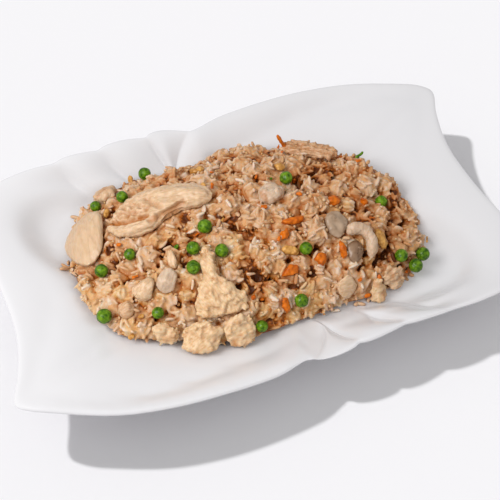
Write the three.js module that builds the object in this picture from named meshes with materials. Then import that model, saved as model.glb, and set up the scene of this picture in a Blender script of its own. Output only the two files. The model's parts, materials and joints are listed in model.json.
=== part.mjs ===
// Plate of chicken egg fried rice: a white wavy platter, a heap of fried rice in it, and what
// lies on the heap, which is chicken, peas, carrot, egg and onion.
// Millimetres, +Z up. The origin lies on the table under the middle of the platter, and +X runs
// along the platter. The platter is nearly the same after half a turn about the Z axis.
import * as THREE from 'three';

// Platter
const FLOOR_LEVEL = 8.5; // top of the well
const CHINA = 4.2; // thickness of the body
const LIP = 1.6; // how far the edge is rounded inwards
const RIM_REACH = 130; // mean distance from the middle to the rim
const FOOT = { halfLength: 96, halfWidth: 60, land: 5, squareness: 3.2, recess: 3.6 };

// Half of the rim, from the tip of one wing over the fluted side to the tip of the other wing.
// Each place has its x, y and height, then how the wall rises to it: the share of the way out at
// which the floor ends, the share at which the upper wall starts, and the share of the height there.
const HALF_RIM = [
  [165, 78.4, 32, 0.3, 0.93, 0.93],
  [157.7, 85.1, 33.5, 0.3, 0.93, 0.93],
  [147.4, 90, 34, 0.31, 0.92, 0.9],
  [111.8, 102.8, 32.5, 0.38, 0.89, 0.72],
  [80, 107.6, 31.5, 0.44, 0.85, 0.58],
  [49.8, 108, 30.5, 0.5, 0.8, 0.45],
  [15, 105.2, 28.5, 0.55, 0.77, 0.34],
  [-8.5, 98.6, 28, 0.57, 0.77, 0.34],
  [-39, 99.6, 29.5, 0.6, 0.78, 0.38],
  [-72, 97, 30, 0.63, 0.8, 0.47],
  [-102.4, 95.6, 30, 0.68, 0.84, 0.6],
  [-124, 94.6, 30, 0.71, 0.86, 0.7],
  [-149.5, 87.5, 29.5, 0.74, 0.87, 0.79],
  [-162.4, 68.6, 29, 0.74, 0.86, 0.8],
  [-163.8, 40.7, 28.5, 0.7, 0.84, 0.8],
  [-157.3, 6, 28.5, 0.57, 0.8, 0.76],
  [-154.3, -30.3, 29, 0.42, 0.86, 0.82],
  [-158.7, -60.7, 31, 0.32, 0.92, 0.91],
];

// The two long sides differ a little: the rim stands further out round this angle, in degrees,
// on the +Y side and as much further in on the other
const SIDE_DIFFERENCE = { amount: 3.3, middle: 128, reach: 21 };

// Valleys between the flutes: the angle in degrees at the rim and at the valley's foot
const VALLEYS = [[137, 139.5], [126.5, 127], [111.5, 110.5], [95, 109]];
const FLUTE_BULGES = [2.2, 2.6, 4.4]; // how far each flute between them stands out at the rim
const VALLEY_DEPTHS = [8, 7.2, 6.4, 4.6]; // depth of each valley half way up the wall
const FLUTE_LEANS = [1.5, 0.75]; // the crowns lie off the middle, on the +Y side and on the other
const VALLEY_RUN = 0.27; // share of the way in over which a valley drifts to its foot
const CORNER_BLEND = 10; // degrees over which the first valley fades into the corner
const WING_BLEND = 6; // degrees over which the last valley fades into the wing

// Stations round the platter, as the angle in degrees up to which each step between them holds.
// The valleys are among them, and between the two ends the stations drift along with the valleys.
const STATION_STEPS = [
  [20, 2.5], [38, 1.9], [86, 2.67], [95, 1.5], [111.5, 1.27], [126.5, 1.25], [137, 1.31], [146, 1.5],
  [180, 2.27],
];
const DRIFT_ENDS = [165, 60];

// Heap of rice
const HEAP_MIDDLE = [2, 5];
const HEAP_HEIGHT = 37; // bare core over the platter at the middle
const HEAP_EDGE = 2; // height of the core's own edge
const HEAP_OUTLINE = [
  [113, -18], [106, 11], [91, 39], [67, 60], [38, 73], [4, 77], [-32, 73], [-62, 74],
  [-90, 63], [-107, 40], [-112, 12], [-108, -22], [-92, -48], [-71, -54.5], [-55, -59],
  [-40, -66], [-4, -67], [34, -62], [70, -58], [102, -44],
];
const HEAP_RINGS = 24;
const JUST_INSIDE = 0.9999; // share of the way out at which the heap's own edge still holds
const GRAIN_BUMP = 2.6; // height of the tallest bump, each as large as a grain
const GRAIN_CLEARANCE = [2.5, 6.5]; // bumps grow over this way from a topping's edge

// Toppings
const REST_GAP = 0.45; // clear of what they lie on
const PEAS = [
  [-49, 68, 8.6], [-69, 47, 7.8], [-86, 54.5, 7.2], [-76, -2, 7.6], [-28, -3, 9.2],
  [-39, -15, 8.6], [-23, -22, 8.4], [-42.5, -27, 8.6], [-95, -4, 8.2],
  [-101, -35, 9.2], [-70, -44, 7.6], [33, 20, 8.8], [91, -3, 8], [28, -32, 8],
  [16, -59, 8.6], [-11.5, -65.5, 7.6], [87.5, -45.5, 8.4], [104.5, -43, 8.8], [96.5, -50, 9.2],
];
const PEA_SQUASH = 0.93; // a pea's height as a share of its width
const PEA_TILT = 1.5; // in radians, how far they lie turned at most
const CHICKEN = {
  chicken_left_slab: {
    thick: 8.5,
    outline: [[-112, 37.5], [-106.5, 47.5], [-98, 49.5], [-91, 49], [-86, 45], [-84.5, 37], [-87, 25],
      [-90, 14], [-94.5, 8], [-101.5, 5], [-107.5, 13], [-111.5, 28]],
  },
  chicken_long_strip: {
    thick: 8.5,
    outline: [[-82, 29], [-73, 38.5], [-61, 43], [-50, 42], [-30, 35.5], [-20, 29], [-15.5, 19],
      [-21, 13.5], [-33, 14.5], [-44, 14.5], [-51, 11.5], [-58, 8.5], [-66, 8], [-75, 12], [-82, 20]],
  },
  chicken_fork: {
    thick: 8.5,
    outline: [[-34, -16], [-29.5, -18], [-29, -26], [-30, -36], [-25.5, -43.5], [-20.5, -47.5],
      [-15.5, -53], [-19.5, -57], [-31, -56.5], [-40, -57], [-46.5, -53], [-47, -46], [-42.5, -40.5],
      [-38, -33], [-36, -24]],
  },
  chicken_nugget: {
    thick: 9,
    outline: [[-59.5, -58.5], [-55, -55.5], [-48, -56.5], [-41, -60], [-36.5, -63], [-41, -70],
      [-51, -71], [-58, -66]],
  },
  chicken_lump: {
    thick: 8,
    outline: [[-34, -65], [-32.5, -60.5], [-27, -60], [-19.5, -60], [-16.5, -64], [-17.5, -69.5],
      [-25, -72], [-32.5, -70.5]],
  },
  chicken_flake_back: {
    thick: 5,
    outline: [[-84, 60], [-82, 71], [-74, 71], [-71, 62], [-76, 57]],
  },
  chicken_flake_front: {
    thick: 4.5,
    outline: [[-76, -51], [-71, -49.5], [-65, -51.5], [-61, -56], [-67, -58.5], [-74, -55]],
  },
  chicken_chunk_left: {
    thick: 7,
    outline: [[-81, -29], [-77, -23], [-70, -23], [-68, -28], [-70, -34], [-77, -34]],
  },
  chicken_chunk_pale: {
    thick: 7,
    outline: [[-66, -30], [-62, -23], [-55, -24], [-54, -29], [-57, -34.5], [-63, -34.5]],
  },
  chicken_chunk_small: {
    thick: 5,
    outline: [[-56, -18], [-54.5, -11], [-51, -11.5], [-50, -18], [-53, -22.5]],
  },
  chicken_chunk_brown: {
    thick: 5.5,
    outline: [[-92, -36], [-89, -31], [-84, -31], [-82, -36], [-86, -40], [-90, -40]],
  },
  chicken_chunk_top: {
    thick: 6.5,
    outline: [[12, 9], [16, 15], [23, 14], [26, 8], [21, 3], [14, 4]],
  },
  chicken_chunk_right: {
    thick: 6.5,
    outline: [[41, -54], [45, -49], [51, -50.5], [53, -55], [49, -59], [43, -58.5]],
  },
  chicken_chunk_edge: {
    thick: 6.5,
    outline: [[62, -60], [66, -54.5], [71, -56], [73, -60.5], [69, -64], [64, -63.5]],
  },
  chicken_slab_right: {
    thick: 6,
    outline: [[73, -55], [76, -50], [82, -50.5], [88, -53], [86, -57.5], [79, -58.5]],
  },
};
const CHICKEN_STRIPS = {
  chicken_back_strip: { wide: 12, thick: 6, spine: [[42, 55], [54, 52], [66, 46], [76, 39]] },
  chicken_curl: {
    wide: 6, thick: 8, spine: [[55.5, -30.5], [61, -28], [67, -29.5], [69.7, -35], [68.8, -41], [66, -46.5]],
  },
};
const EGG = {
  egg_right: { thick: 5, outline: [[74, -37], [74, -30], [77.5, -27], [81, -32], [80, -39], [77, -40.5]] },
  egg_middle: {
    thick: 3.5,
    outline: [[12, -31], [15, -28.5], [19.5, -29.5], [23, -33], [21.5, -35], [16, -33.5]],
  },
  egg_back: { thick: 4.5, outline: [[31.5, 31], [31, 37], [36, 38], [37, 32]] },
  egg_left: { thick: 4.5, outline: [[-22, 51], [-20, 57.5], [-13, 57.5], [-12, 52], [-16, 49]] },
};
const ONION = {
  onion_leaf: {
    thick: 3,
    outline: [[45, -26], [46, -18], [50, -12], [57, -13.5], [60, -19], [55, -27.5], [50, -30]],
  },
  onion_sheet: {
    thick: 3,
    outline: [[53.5, -43], [53.5, -37], [57, -34], [62, -33.5], [64, -37], [62, -42.5], [57.5, -45]],
  },
};
const CARROTS = [
  [57, -4, 8, 6, 20], [34.5, -40, 9, 6.5, 35], [14, -43, 10, 8, 10], [24.5, -15, 14, 4.5, 5],
  [50, -37.5, 4.5, 9, 0], [17, -22, 6, 5, 40], [6, -58, 4.5, 7, 15], [77, -6, 5, 4, 25],
];
const CARROT_HEIGHT = 4.5;

// Colours of the materials: colour, roughness
const FINISHES = {
  glaze: [0xeeecef, 0.12],
  rice: [0xcfb195, 0.6],
  chicken: [0xdfc49c, 0.55],
  pea: [0x4c8f24, 0.35],
  carrot: [0xcf6414, 0.45],
  egg: [0xd9a248, 0.55],
  onion: [0xb6a088, 0.35],
};

const MATERIALS = {};
for (const [name, [color, roughness]] of Object.entries(FINISHES)) {
  MATERIALS[name] = new THREE.MeshStandardMaterial({ color, roughness, metalness: 0 });
}

const { clamp, degToRad, lerp, smoothstep } = THREE.MathUtils;
const TURN = 2 * Math.PI;

function seededRandom(seed) {
  let state = seed;
  return () => {
    state = (Math.imul(state, 1664525) + 1013904223) >>> 0;
    return state / 4294967296;
  };
}

// Distance from the middle to a closed curve, and the curve's other values, for any angle.
// The rows hold x and y first, and the middle sees the whole curve.
function polarCurve(rows, middle, samplesPerRow = 60) {
  const values = rows[0].length;
  const count = rows.length * samplesPerRow;
  const curves = [];
  for (let first = 0; first < values; first += 3) {
    const triples = rows.map((row) => new THREE.Vector3(row[first], row[first + 1], row[first + 2] ?? 0));
    curves.push(new THREE.CatmullRomCurve3(triples, true, 'catmullrom'));
  }
  const table = [];
  for (let i = 0; i < count; i++) {
    const row = curves.flatMap((curve) => curve.getPoint(i / count).toArray()).slice(0, values);
    const [x, y] = [row[0] - middle[0], row[1] - middle[1]];
    table.push({ angle: (Math.atan2(y, x) + TURN) % TURN, radius: Math.hypot(x, y), row });
  }
  table.sort((a, b) => a.angle - b.angle);
  return (angle) => {
    const wanted = ((angle % TURN) + TURN) % TURN;
    let low = 0;
    let high = count;
    while (low < high) {
      const half = (low + high) >> 1;
      if (table[half].angle < wanted) low = half + 1;
      else high = half;
    }
    const next = table[low % count];
    const last = table[(low + count - 1) % count];
    const gap = (next.angle - last.angle + TURN) % TURN || 1;
    const part = ((wanted - last.angle + TURN) % TURN) / gap;
    const row = last.row.map((value, i) => lerp(value, next.row[i], part));
    return { radius: lerp(last.radius, next.radius, part), row };
  };
}

const plainRim = polarCurve(
  [...HALF_RIM, ...HALF_RIM.map(([x, y, ...wall]) => [-x, -y, ...wall])],
  [0, 0],
);
const heapEdge = polarCurve(HEAP_OUTLINE, HEAP_MIDDLE);

// Angle in degrees within its own half turn
function halfTurn(angle) {
  return ((((angle * 180) / Math.PI) % 180) + 180) % 180;
}

function valleysAt(share) {
  const inwards = clamp((1 - share) / VALLEY_RUN, 0, 1);
  return VALLEYS.map(([rim, foot]) => lerp(rim, foot, inwards));
}

// How full a flute is at a place, from 0 in a valley to 1 on its crown and on the plain wall,
// how far the flute stands out at the rim, and how deep the valleys beside it are
function fluteAt(angle, share) {
  const degrees = halfTurn(angle);
  const valleys = valleysAt(share);
  const fade = (part) => Math.pow(Math.sin((Math.PI / 2) * Math.min(part, 1)), 0.8);
  const next = valleys.findIndex((valley) => valley < degrees);
  if (next === 0) {
    return { fullness: fade((degrees - valleys[0]) / CORNER_BLEND), bulge: 0, depth: VALLEY_DEPTHS[0] };
  }
  const last = valleys.length - 1;
  if (next < 0) {
    return { fullness: fade((valleys[last] - degrees) / WING_BLEND), bulge: 0, depth: VALLEY_DEPTHS[last] };
  }
  const way = (degrees - valleys[next]) / (valleys[next - 1] - valleys[next]);
  const lean = FLUTE_LEANS[Math.sin(angle) > 0 ? 0 : 1];
  const fullness = Math.pow(Math.sin(Math.PI * Math.pow(way, lean)), 0.6);
  const depth = lerp(VALLEY_DEPTHS[next], VALLEY_DEPTHS[next - 1], way);
  return { fullness, bulge: FLUTE_BULGES[next - 1], depth };
}

function rimAt(angle) {
  const { radius, row } = plainRim(angle);
  const [, , height, floor, fold, level] = row;
  const { fullness, bulge } = fluteAt(angle, 1);
  const { amount, middle, reach } = SIDE_DIFFERENCE;
  const away = (halfTurn(angle) - middle) / reach;
  const side = amount * Math.exp(-away * away) * Math.sign(Math.sin(angle));
  return { radius: radius + bulge * fullness + side, height, floor, fold, level };
}

// Top of the platter at a place in plan
function platterTop(x, y) {
  const angle = Math.atan2(y, x);
  const { radius, height, floor, fold, level } = rimAt(angle);
  const share = Math.hypot(x, y) / radius;
  const ramp = level * smoothstep(share, floor, fold);
  const wall = level + (1 - level) * Math.sin((Math.PI / 2) * clamp((share - fold) / (1 - fold), 0, 1));
  const rise = share < fold ? ramp : wall;
  const { fullness, depth } = fluteAt(angle, share);
  const along = smoothstep(share, 0.68, 0.86) * (1 - 0.85 * smoothstep(share, 0.88, 1));
  const flute = depth * (1 - fullness) * along;
  return FLOOR_LEVEL + (height - FLOOR_LEVEL) * rise - flute;
}

// Place in plan on the heap, at a share of the way from its middle to its edge
function heapPlace(angle, way) {
  const reach = heapEdge(angle).radius * way;
  return [HEAP_MIDDLE[0] + reach * Math.cos(angle), HEAP_MIDDLE[1] + reach * Math.sin(angle)];
}

// Bare core of the heap at a place in plan, or the platter outside it
function restLevel(x, y) {
  const [dx, dy] = [x - HEAP_MIDDLE[0], y - HEAP_MIDDLE[1]];
  const way = Math.hypot(dx, dy) / heapEdge(Math.atan2(dy, dx)).radius;
  const plate = platterTop(x, y);
  if (way >= 1) return plate;
  const dome = Math.pow(1 - Math.pow(way, 2.2), 0.72);
  const swell = 1.2 * Math.sin(x / 17) * Math.cos(y / 13 + 1);
  return plate + REST_GAP + HEAP_EDGE + (HEAP_HEIGHT + swell) * dome;
}

function around(count, place) {
  return Array.from({ length: count }, (_, i) => place((i / count) * TURN, i));
}

function circle(x, y, radius, count) {
  return around(count, (angle) => [x + radius * Math.cos(angle), y + radius * Math.sin(angle)]);
}

function highestNear(surface, x, y, reach) {
  return Math.max(surface(x, y), ...circle(x, y, reach, 6).map((place) => surface(...place)));
}

// Closed surface through rings of points that all run counter-clockwise seen from the start.
// The rings may differ in number of points; the first and the last are single points.
function shell(rings) {
  const starts = [];
  const positions = [];
  for (const ring of rings) {
    starts.push(positions.length / 3);
    for (const [x, y, z] of ring) positions.push(x, y, z);
  }
  const faces = [];
  for (let r = 1; r < rings.length; r++) {
    const [near, far] = [rings[r - 1].length, rings[r].length];
    let [i, j] = [0, 0];
    while (i < (near > 1 ? near : 0) || j < (far > 1 ? far : 0)) {
      const a = starts[r - 1] + (i % near);
      const b = starts[r] + (j % far);
      const stepFar = near === 1 || (far > 1 && (j + 0.5) * near <= (i + 0.5) * far && j < far) || i >= near;
      if (stepFar) {
        faces.push(a, b, starts[r] + ((j + 1) % far));
        j++;
      } else {
        faces.push(a, b, starts[r - 1] + ((i + 1) % near));
        i++;
      }
    }
  }
  const geometry = new THREE.BufferGeometry();
  geometry.setAttribute('position', new THREE.Float32BufferAttribute(positions, 3));
  geometry.setIndex(faces);
  geometry.computeVertexNormals();
  return geometry;
}

const plate = new THREE.Group();

function addMesh(name, geometry, finish) {
  const mesh = new THREE.Mesh(geometry, MATERIALS[finish]);
  mesh.name = name;
  plate.add(mesh);
  return mesh;
}

// Platter

// Angles of the stations, close together where the flutes are, twice round in half turns
const STATIONS = [];
for (const half of [0, Math.PI]) {
  let degrees = 0;
  for (const [end, step] of STATION_STEPS) {
    const steps = Math.round((end - degrees) / step);
    for (let i = 0; i < steps; i++) STATIONS.push(half + degToRad(lerp(degrees, end, i / steps)));
    degrees = end;
  }
}

// The same crowding of the stations, for a ring of fewer points
function roundPlatter(count, place) {
  return Array.from({ length: count }, (_, i) => {
    const wanted = (i / count) * STATIONS.length;
    const low = Math.floor(wanted);
    return place(lerp(STATIONS[low], STATIONS[low + 1] ?? TURN, wanted - low));
  });
}

// Angle of a station on its way in, at a share of the way out
function driftedStation(angle, share) {
  const degrees = halfTurn(angle);
  const rim = [DRIFT_ENDS[0], ...valleysAt(1), DRIFT_ENDS[1]];
  const here = [DRIFT_ENDS[0], ...valleysAt(share), DRIFT_ENDS[1]];
  const next = rim.findIndex((end) => end <= degrees);
  if (next < 1) return angle;
  const part = (degrees - rim[next]) / (rim[next - 1] - rim[next]);
  const drift = lerp(here[next], here[next - 1], part) - degrees;
  return angle + degToRad(drift) * smoothstep(share, 0.45, 0.68);
}

function platterRing(count, share, drop = 0) {
  return roundPlatter(count, (station) => {
    const angle = driftedStation(station, share);
    const { radius } = rimAt(angle);
    const [x, y] = [radius * share * Math.cos(angle), radius * share * Math.sin(angle)];
    return [x, y, platterTop(x, y) - drop];
  });
}

function footRadius(angle) {
  const [c, s] = [Math.abs(Math.cos(angle)), Math.abs(Math.sin(angle))];
  const n = FOOT.squareness;
  return Math.pow(Math.pow(c / FOOT.halfLength, n) + Math.pow(s / FOOT.halfWidth, n), -1 / n);
}

// Ring of the underside, on the way in from the rim to the foot
function undersideRing(count, wayIn) {
  return roundPlatter(count, (station) => {
    const angle = driftedStation(station, 1 - 0.4 * wayIn);
    const radius = lerp(rimAt(angle).radius, footRadius(angle), wayIn);
    const [x, y] = [radius * Math.cos(angle), radius * Math.sin(angle)];
    return [x, y, platterTop(x, y) - CHINA];
  });
}

function footRing(count, inset, level) {
  return roundPlatter(count, (angle) => {
    const radius = footRadius(angle) - inset;
    return [radius * Math.cos(angle), radius * Math.sin(angle), level];
  });
}

function buildPlatter() {
  const inner = [[12, 0.12], [24, 0.24], [45, 0.36], [60, 0.46], [90, 0.55], [120, 0.62]];
  const wall = [0.68, 0.735, 0.785, 0.83, 0.875, 0.92, 0.96];
  const rings = [[[0, 0, FLOOR_LEVEL]]];
  for (const [count, share] of inner) rings.push(platterRing(count, share));
  const all = STATIONS.length;
  for (const share of wall) rings.push(platterRing(all, share));
  rings.push(platterRing(all, 1 - LIP / RIM_REACH));
  rings.push(platterRing(all, 1, CHINA * 0.45));
  rings.push(undersideRing(all, 0.03));
  for (const [count, wayIn] of [[108, 0.2], [84, 0.45], [60, 0.75]]) rings.push(undersideRing(count, wayIn));
  rings.push(undersideRing(60, 1));
  rings.push(footRing(60, 0.4, 0));
  rings.push(footRing(60, FOOT.land, 0));
  rings.push(footRing(60, FOOT.land + 1, FOOT.recess));
  rings.push(footRing(12, 45, FOOT.recess));
  rings.push([[0, 0, FOOT.recess]]);
  addMesh('platter', shell(rings), 'glaze');
}

// Toppings

function smoothOutline(points, count) {
  const places = points.map(([x, y]) => new THREE.Vector3(x, y, 0));
  const curve = new THREE.CatmullRomCurve3(places, true, 'centripetal');
  return Array.from({ length: count }, (_, i) => {
    const { x, y } = curve.getPoint(i / count);
    return [x, y];
  });
}

function counterClockwise(points) {
  return THREE.ShapeUtils.isClockWise(points.map(([x, y]) => new THREE.Vector2(x, y)))
    ? [...points].reverse()
    : points;
}

function middleOf(points) {
  return [0, 1].map((axis) => points.reduce((sum, point) => sum + point[axis], 0) / points.length);
}

// Level that a flat facet needs to stay clear of a curved surface
function levelUnder(x, y, reach) {
  return (highestNear(restLevel, x, y, reach) + restLevel(x, y)) / 2;
}

// Piece draped over the heap: its underside follows the core, its top is a low dome
function drapedPiece(outline, thick, count, shares, rough) {
  const edge = counterClockwise(smoothOutline(outline, count));
  const [mx, my] = middleOf(edge);
  const place = (share, [x, y], height) => {
    const [px, py] = [lerp(mx, x, share), lerp(my, y, share)];
    return [px, py, levelUnder(px, py, 2) + REST_GAP + height];
  };
  const domeAt = (share) => thick * (0.45 + 0.55 * Math.sqrt(1 - share * share));
  const ridge = (i) => rough * thick * Math.sin(i * 2.3);
  const rings = [[place(0, [mx, my], thick)]];
  for (const share of shares) rings.push(edge.map((p, i) => place(share, p, domeAt(share) + ridge(i))));
  rings.push(edge.map((p) => place(0.94, p, 0.2)));
  rings.push(edge.map((p) => place(0.5, p, 0.2)));
  rings.push([place(0, [mx, my], 0.2)]);
  return shell(rings);
}

// Strap that lies along a bent line over the heap
function strap(spine, wide, thick, count = 9) {
  const curve = new THREE.CatmullRomCurve3(spine.map(([x, y]) => new THREE.Vector3(x, y, 0)));
  const rings = [];
  for (let i = 0; i <= count; i++) {
    const way = i / count;
    const { x, y } = curve.getPoint(way);
    const along = curve.getTangent(way);
    const full = Math.sqrt(1 - Math.pow(2 * way - 1, 6));
    const level = levelUnder(x, y, wide / 2) + REST_GAP + thick * 0.55;
    const size = Math.max(full, 0.02);
    if (i === 0 || i === count) rings.push([[x, y, level]]);
    else {
      rings.push(around(8, (angle) => {
        const side = (wide / 2) * size * Math.cos(angle);
        return [x + along.y * side, y - along.x * side, level + (thick / 2) * size * Math.sin(angle)];
      }));
    }
  }
  return shell(rings);
}

function buildChicken() {
  for (const [name, { thick, outline }] of Object.entries(CHICKEN)) {
    const large = outline.length > 8;
    const shares = large ? [0.45, 0.8, 1] : [0.7, 1];
    addMesh(name, drapedPiece(outline, thick, large ? 20 : 10, shares, large ? 0.05 : 0.07), 'chicken');
  }
  for (const [name, { spine, wide, thick }] of Object.entries(CHICKEN_STRIPS)) {
    addMesh(name, strap(spine, wide, thick), 'chicken');
  }
}

// Level of the middle of a ball that is let down on the heap
function levelOfBall(x, y, radius) {
  let level = 0;
  for (const share of [0, 0.35, 0.65, 0.88]) {
    for (let i = 0; i < 12; i++) {
      const angle = (i / 12) * TURN;
      const reach = share * radius;
      const under = restLevel(x + reach * Math.cos(angle), y + reach * Math.sin(angle));
      level = Math.max(level, under + Math.sqrt(radius * radius - reach * reach));
    }
  }
  return level;
}

function buildPeas() {
  const random = seededRandom(11);
  PEAS.forEach(([x, y, diameter], i) => {
    const geometry = new THREE.IcosahedronGeometry(diameter / 2, 1);
    geometry.scale(1, 1, PEA_SQUASH);
    geometry.rotateX((random() - 0.5) * PEA_TILT);
    geometry.rotateY((random() - 0.5) * PEA_TILT);
    const pea = addMesh(`pea_${i + 1}`, geometry, 'pea');
    pea.position.set(x, y, levelOfBall(x, y, diameter / 2 + REST_GAP));
  });
}

function buildSmallPieces() {
  CARROTS.forEach(([x, y, length, width, turn], i) => {
    const [c, s] = [Math.cos(degToRad(turn)), Math.sin(degToRad(turn))];
    const corners = around(6, (angle) => {
      const [u, v] = [(length / 2) * Math.cos(angle), (width / 2) * Math.sin(angle)];
      return [x + u * c - v * s, y + u * s + v * c];
    });
    addMesh(`carrot_${i + 1}`, drapedPiece(corners, CARROT_HEIGHT, 6, [0.85, 1], 0), 'carrot');
  });
  for (const [name, { thick, outline }] of Object.entries(EGG)) {
    addMesh(name, drapedPiece(outline, thick, 8, [0.75, 1], 0.06), 'egg');
  }
  for (const [name, { thick, outline }] of Object.entries(ONION)) {
    addMesh(name, drapedPiece(outline, thick, 12, [0.6, 1], 0.05), 'onion');
  }
}

// Heap of rice

// Outlines in plan of all that lies on the heap
function toppingOutlines() {
  const outlines = [];
  for (const { outline } of [CHICKEN, EGG, ONION].flatMap(Object.values)) {
    outlines.push(smoothOutline(outline, 24));
  }
  for (const [x, y, diameter] of PEAS) {
    outlines.push(circle(x, y, diameter / 2, 10));
  }
  for (const [x, y, length] of CARROTS) {
    outlines.push(circle(x, y, length / 2, 10));
  }
  for (const { spine, wide } of Object.values(CHICKEN_STRIPS)) {
    const curve = new THREE.CatmullRomCurve3(spine.map(([x, y]) => new THREE.Vector3(x, y, 0)));
    for (const { x, y } of curve.getPoints(16)) {
      outlines.push(circle(x, y, wide / 2, 8));
    }
  }
  return outlines;
}

function inside([x, y], outline) {
  let within = false;
  outline.forEach(([x2, y2], i) => {
    const [x1, y1] = outline[(i + outline.length - 1) % outline.length];
    if (y1 > y !== y2 > y && x < x1 + ((y - y1) * (x2 - x1)) / (y2 - y1)) within = !within;
  });
  return within;
}

function distanceToEdge([x, y], outline) {
  const distances = outline.map(([x2, y2], i) => {
    const [x1, y1] = outline[(i + outline.length - 1) % outline.length];
    const [dx, dy] = [x2 - x1, y2 - y1];
    const way = clamp(((x - x1) * dx + (y - y1) * dy) / (dx * dx + dy * dy), 0, 1);
    return Math.hypot(x1 + dx * way - x, y1 + dy * way - y);
  });
  return Math.min(...distances);
}

// How much of a bump fits at a place: none under a topping, all a little way from it
function roomForBump(point, outlines) {
  if (outlines.some((outline) => inside(point, outline))) return 0;
  const distance = Math.min(...outlines.map((outline) => distanceToEdge(point, outline)));
  return smoothstep(distance, ...GRAIN_CLEARANCE);
}

function buildHeap() {
  const random = seededRandom(5);
  const outlines = toppingOutlines();
  const rings = [];
  for (let r = 0; r <= HEAP_RINGS; r++) {
    const way = r / HEAP_RINGS;
    rings.push(around(Math.max(1, 6 * r), (angle) => {
      const [x, y] = heapPlace(angle, Math.min(way, JUST_INSIDE));
      const bump = GRAIN_BUMP * random() * roomForBump([x, y], outlines);
      return [x, y, restLevel(x, y) + bump];
    }));
  }
  const under = [[120, 0.992], [84, 0.86], [60, 0.7], [36, 0.5], [12, 0.25]];
  for (const [count, way] of under) {
    rings.push(around(count, (angle) => {
      const [x, y] = heapPlace(angle, way);
      return [x, y, highestNear(platterTop, x, y, 6) + REST_GAP];
    }));
  }
  rings.push([[...HEAP_MIDDLE, FLOOR_LEVEL + REST_GAP]]);
  addMesh('fried_rice', shell(rings), 'rice');
}

buildPlatter();
buildHeap();
buildChicken();
buildPeas();
buildSmallPieces();

export default plate;
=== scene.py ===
# Plate of chicken egg fried rice, dressed over its solids, in metres and in the solids' frame.
import bpy
import json
import numpy as np
from math import cos, pi, radians, sin
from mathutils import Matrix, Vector, noise
from mathutils.bvhtree import BVHTree
from mathutils.kdtree import KDTree

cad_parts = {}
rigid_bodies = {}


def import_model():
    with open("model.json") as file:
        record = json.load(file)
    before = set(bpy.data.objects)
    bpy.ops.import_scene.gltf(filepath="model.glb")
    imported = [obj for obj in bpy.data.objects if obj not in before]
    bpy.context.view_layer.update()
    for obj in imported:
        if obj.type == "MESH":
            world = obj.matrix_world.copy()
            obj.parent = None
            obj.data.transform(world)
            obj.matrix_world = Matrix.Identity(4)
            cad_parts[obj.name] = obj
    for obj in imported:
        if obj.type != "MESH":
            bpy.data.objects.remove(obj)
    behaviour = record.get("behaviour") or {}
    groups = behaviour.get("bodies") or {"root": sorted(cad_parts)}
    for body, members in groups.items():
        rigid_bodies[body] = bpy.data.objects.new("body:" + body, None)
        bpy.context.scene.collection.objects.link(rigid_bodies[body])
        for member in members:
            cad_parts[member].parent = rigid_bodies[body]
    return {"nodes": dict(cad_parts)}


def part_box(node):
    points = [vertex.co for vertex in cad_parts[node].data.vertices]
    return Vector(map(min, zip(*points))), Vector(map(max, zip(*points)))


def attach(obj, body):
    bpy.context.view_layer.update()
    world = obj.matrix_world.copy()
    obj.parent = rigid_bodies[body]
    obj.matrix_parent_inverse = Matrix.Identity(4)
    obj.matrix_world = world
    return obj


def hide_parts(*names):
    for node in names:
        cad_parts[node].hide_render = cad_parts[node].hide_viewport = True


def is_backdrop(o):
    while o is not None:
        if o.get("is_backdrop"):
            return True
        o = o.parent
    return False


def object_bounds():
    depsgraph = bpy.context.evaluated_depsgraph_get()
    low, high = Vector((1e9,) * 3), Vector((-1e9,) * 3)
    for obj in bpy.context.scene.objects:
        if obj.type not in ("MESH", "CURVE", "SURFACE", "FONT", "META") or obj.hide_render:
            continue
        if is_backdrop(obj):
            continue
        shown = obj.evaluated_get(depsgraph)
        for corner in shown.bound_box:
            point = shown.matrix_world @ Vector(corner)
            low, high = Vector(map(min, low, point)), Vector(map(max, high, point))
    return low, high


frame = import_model()
cad_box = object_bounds()
bpy.ops.object.select_all(action="DESELECT")

# Platter
# One piece of white china under a clear gloss glaze, pressed to a wavy rectangle with two smooth
# wings, two bowl-like corners and four flutes in each long side. It is the solid's own form, made
# round and even.
MM = 0.001
MERGED_WITHIN = 0.01 * MM
QUADS_WITHIN = radians(60)
# A pocket between the front flutes that is eased: x, y and radius in millimetres
POCKET_MM = (14, -84, 26)
POCKET_ROUNDS = 12
POCKET_FACES_UP = 0.25


def pick(*items):
    bpy.ops.object.select_all(action="DESELECT")
    for item in items:
        item.select_set(True)
    bpy.context.view_layer.objects.active = items[-1]


def copy_of_node(node, name):
    piece = frame["nodes"][node].copy()
    piece.data = piece.data.copy()
    piece.name = name
    piece.parent = None
    piece.data.materials.clear()
    bpy.context.collection.objects.link(piece)
    pick(piece)
    bpy.ops.object.mode_set(mode="EDIT")
    bpy.ops.mesh.select_all(action="SELECT")
    bpy.ops.mesh.remove_doubles(threshold=MERGED_WITHIN)
    bpy.ops.object.mode_set(mode="OBJECT")
    return piece


def apply_modifier(piece, kind, **settings):
    modifier = piece.modifiers.new(kind.lower(), kind)
    for key, value in settings.items():
        setattr(modifier, key, value)
    bpy.context.view_layer.objects.active = piece
    bpy.ops.object.modifier_apply(modifier=modifier.name)


def points_of(item):
    return np.array([vertex.co for vertex in item.data.vertices])


def eased(item, rounds):
    points = points_of(item)
    ends = np.empty(2 * len(item.data.edges), int)
    item.data.edges.foreach_get("vertices", ends)
    a, b = ends[::2], ends[1::2]
    count = len(points)
    beside = np.bincount(ends, minlength=count)
    for _ in range(rounds):
        sums = []
        for k in range(3):
            sums.append(np.bincount(a, points[b, k], count) + np.bincount(b, points[a, k], count))
        points = np.column_stack(sums) / beside[:, None]
    return points


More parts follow.
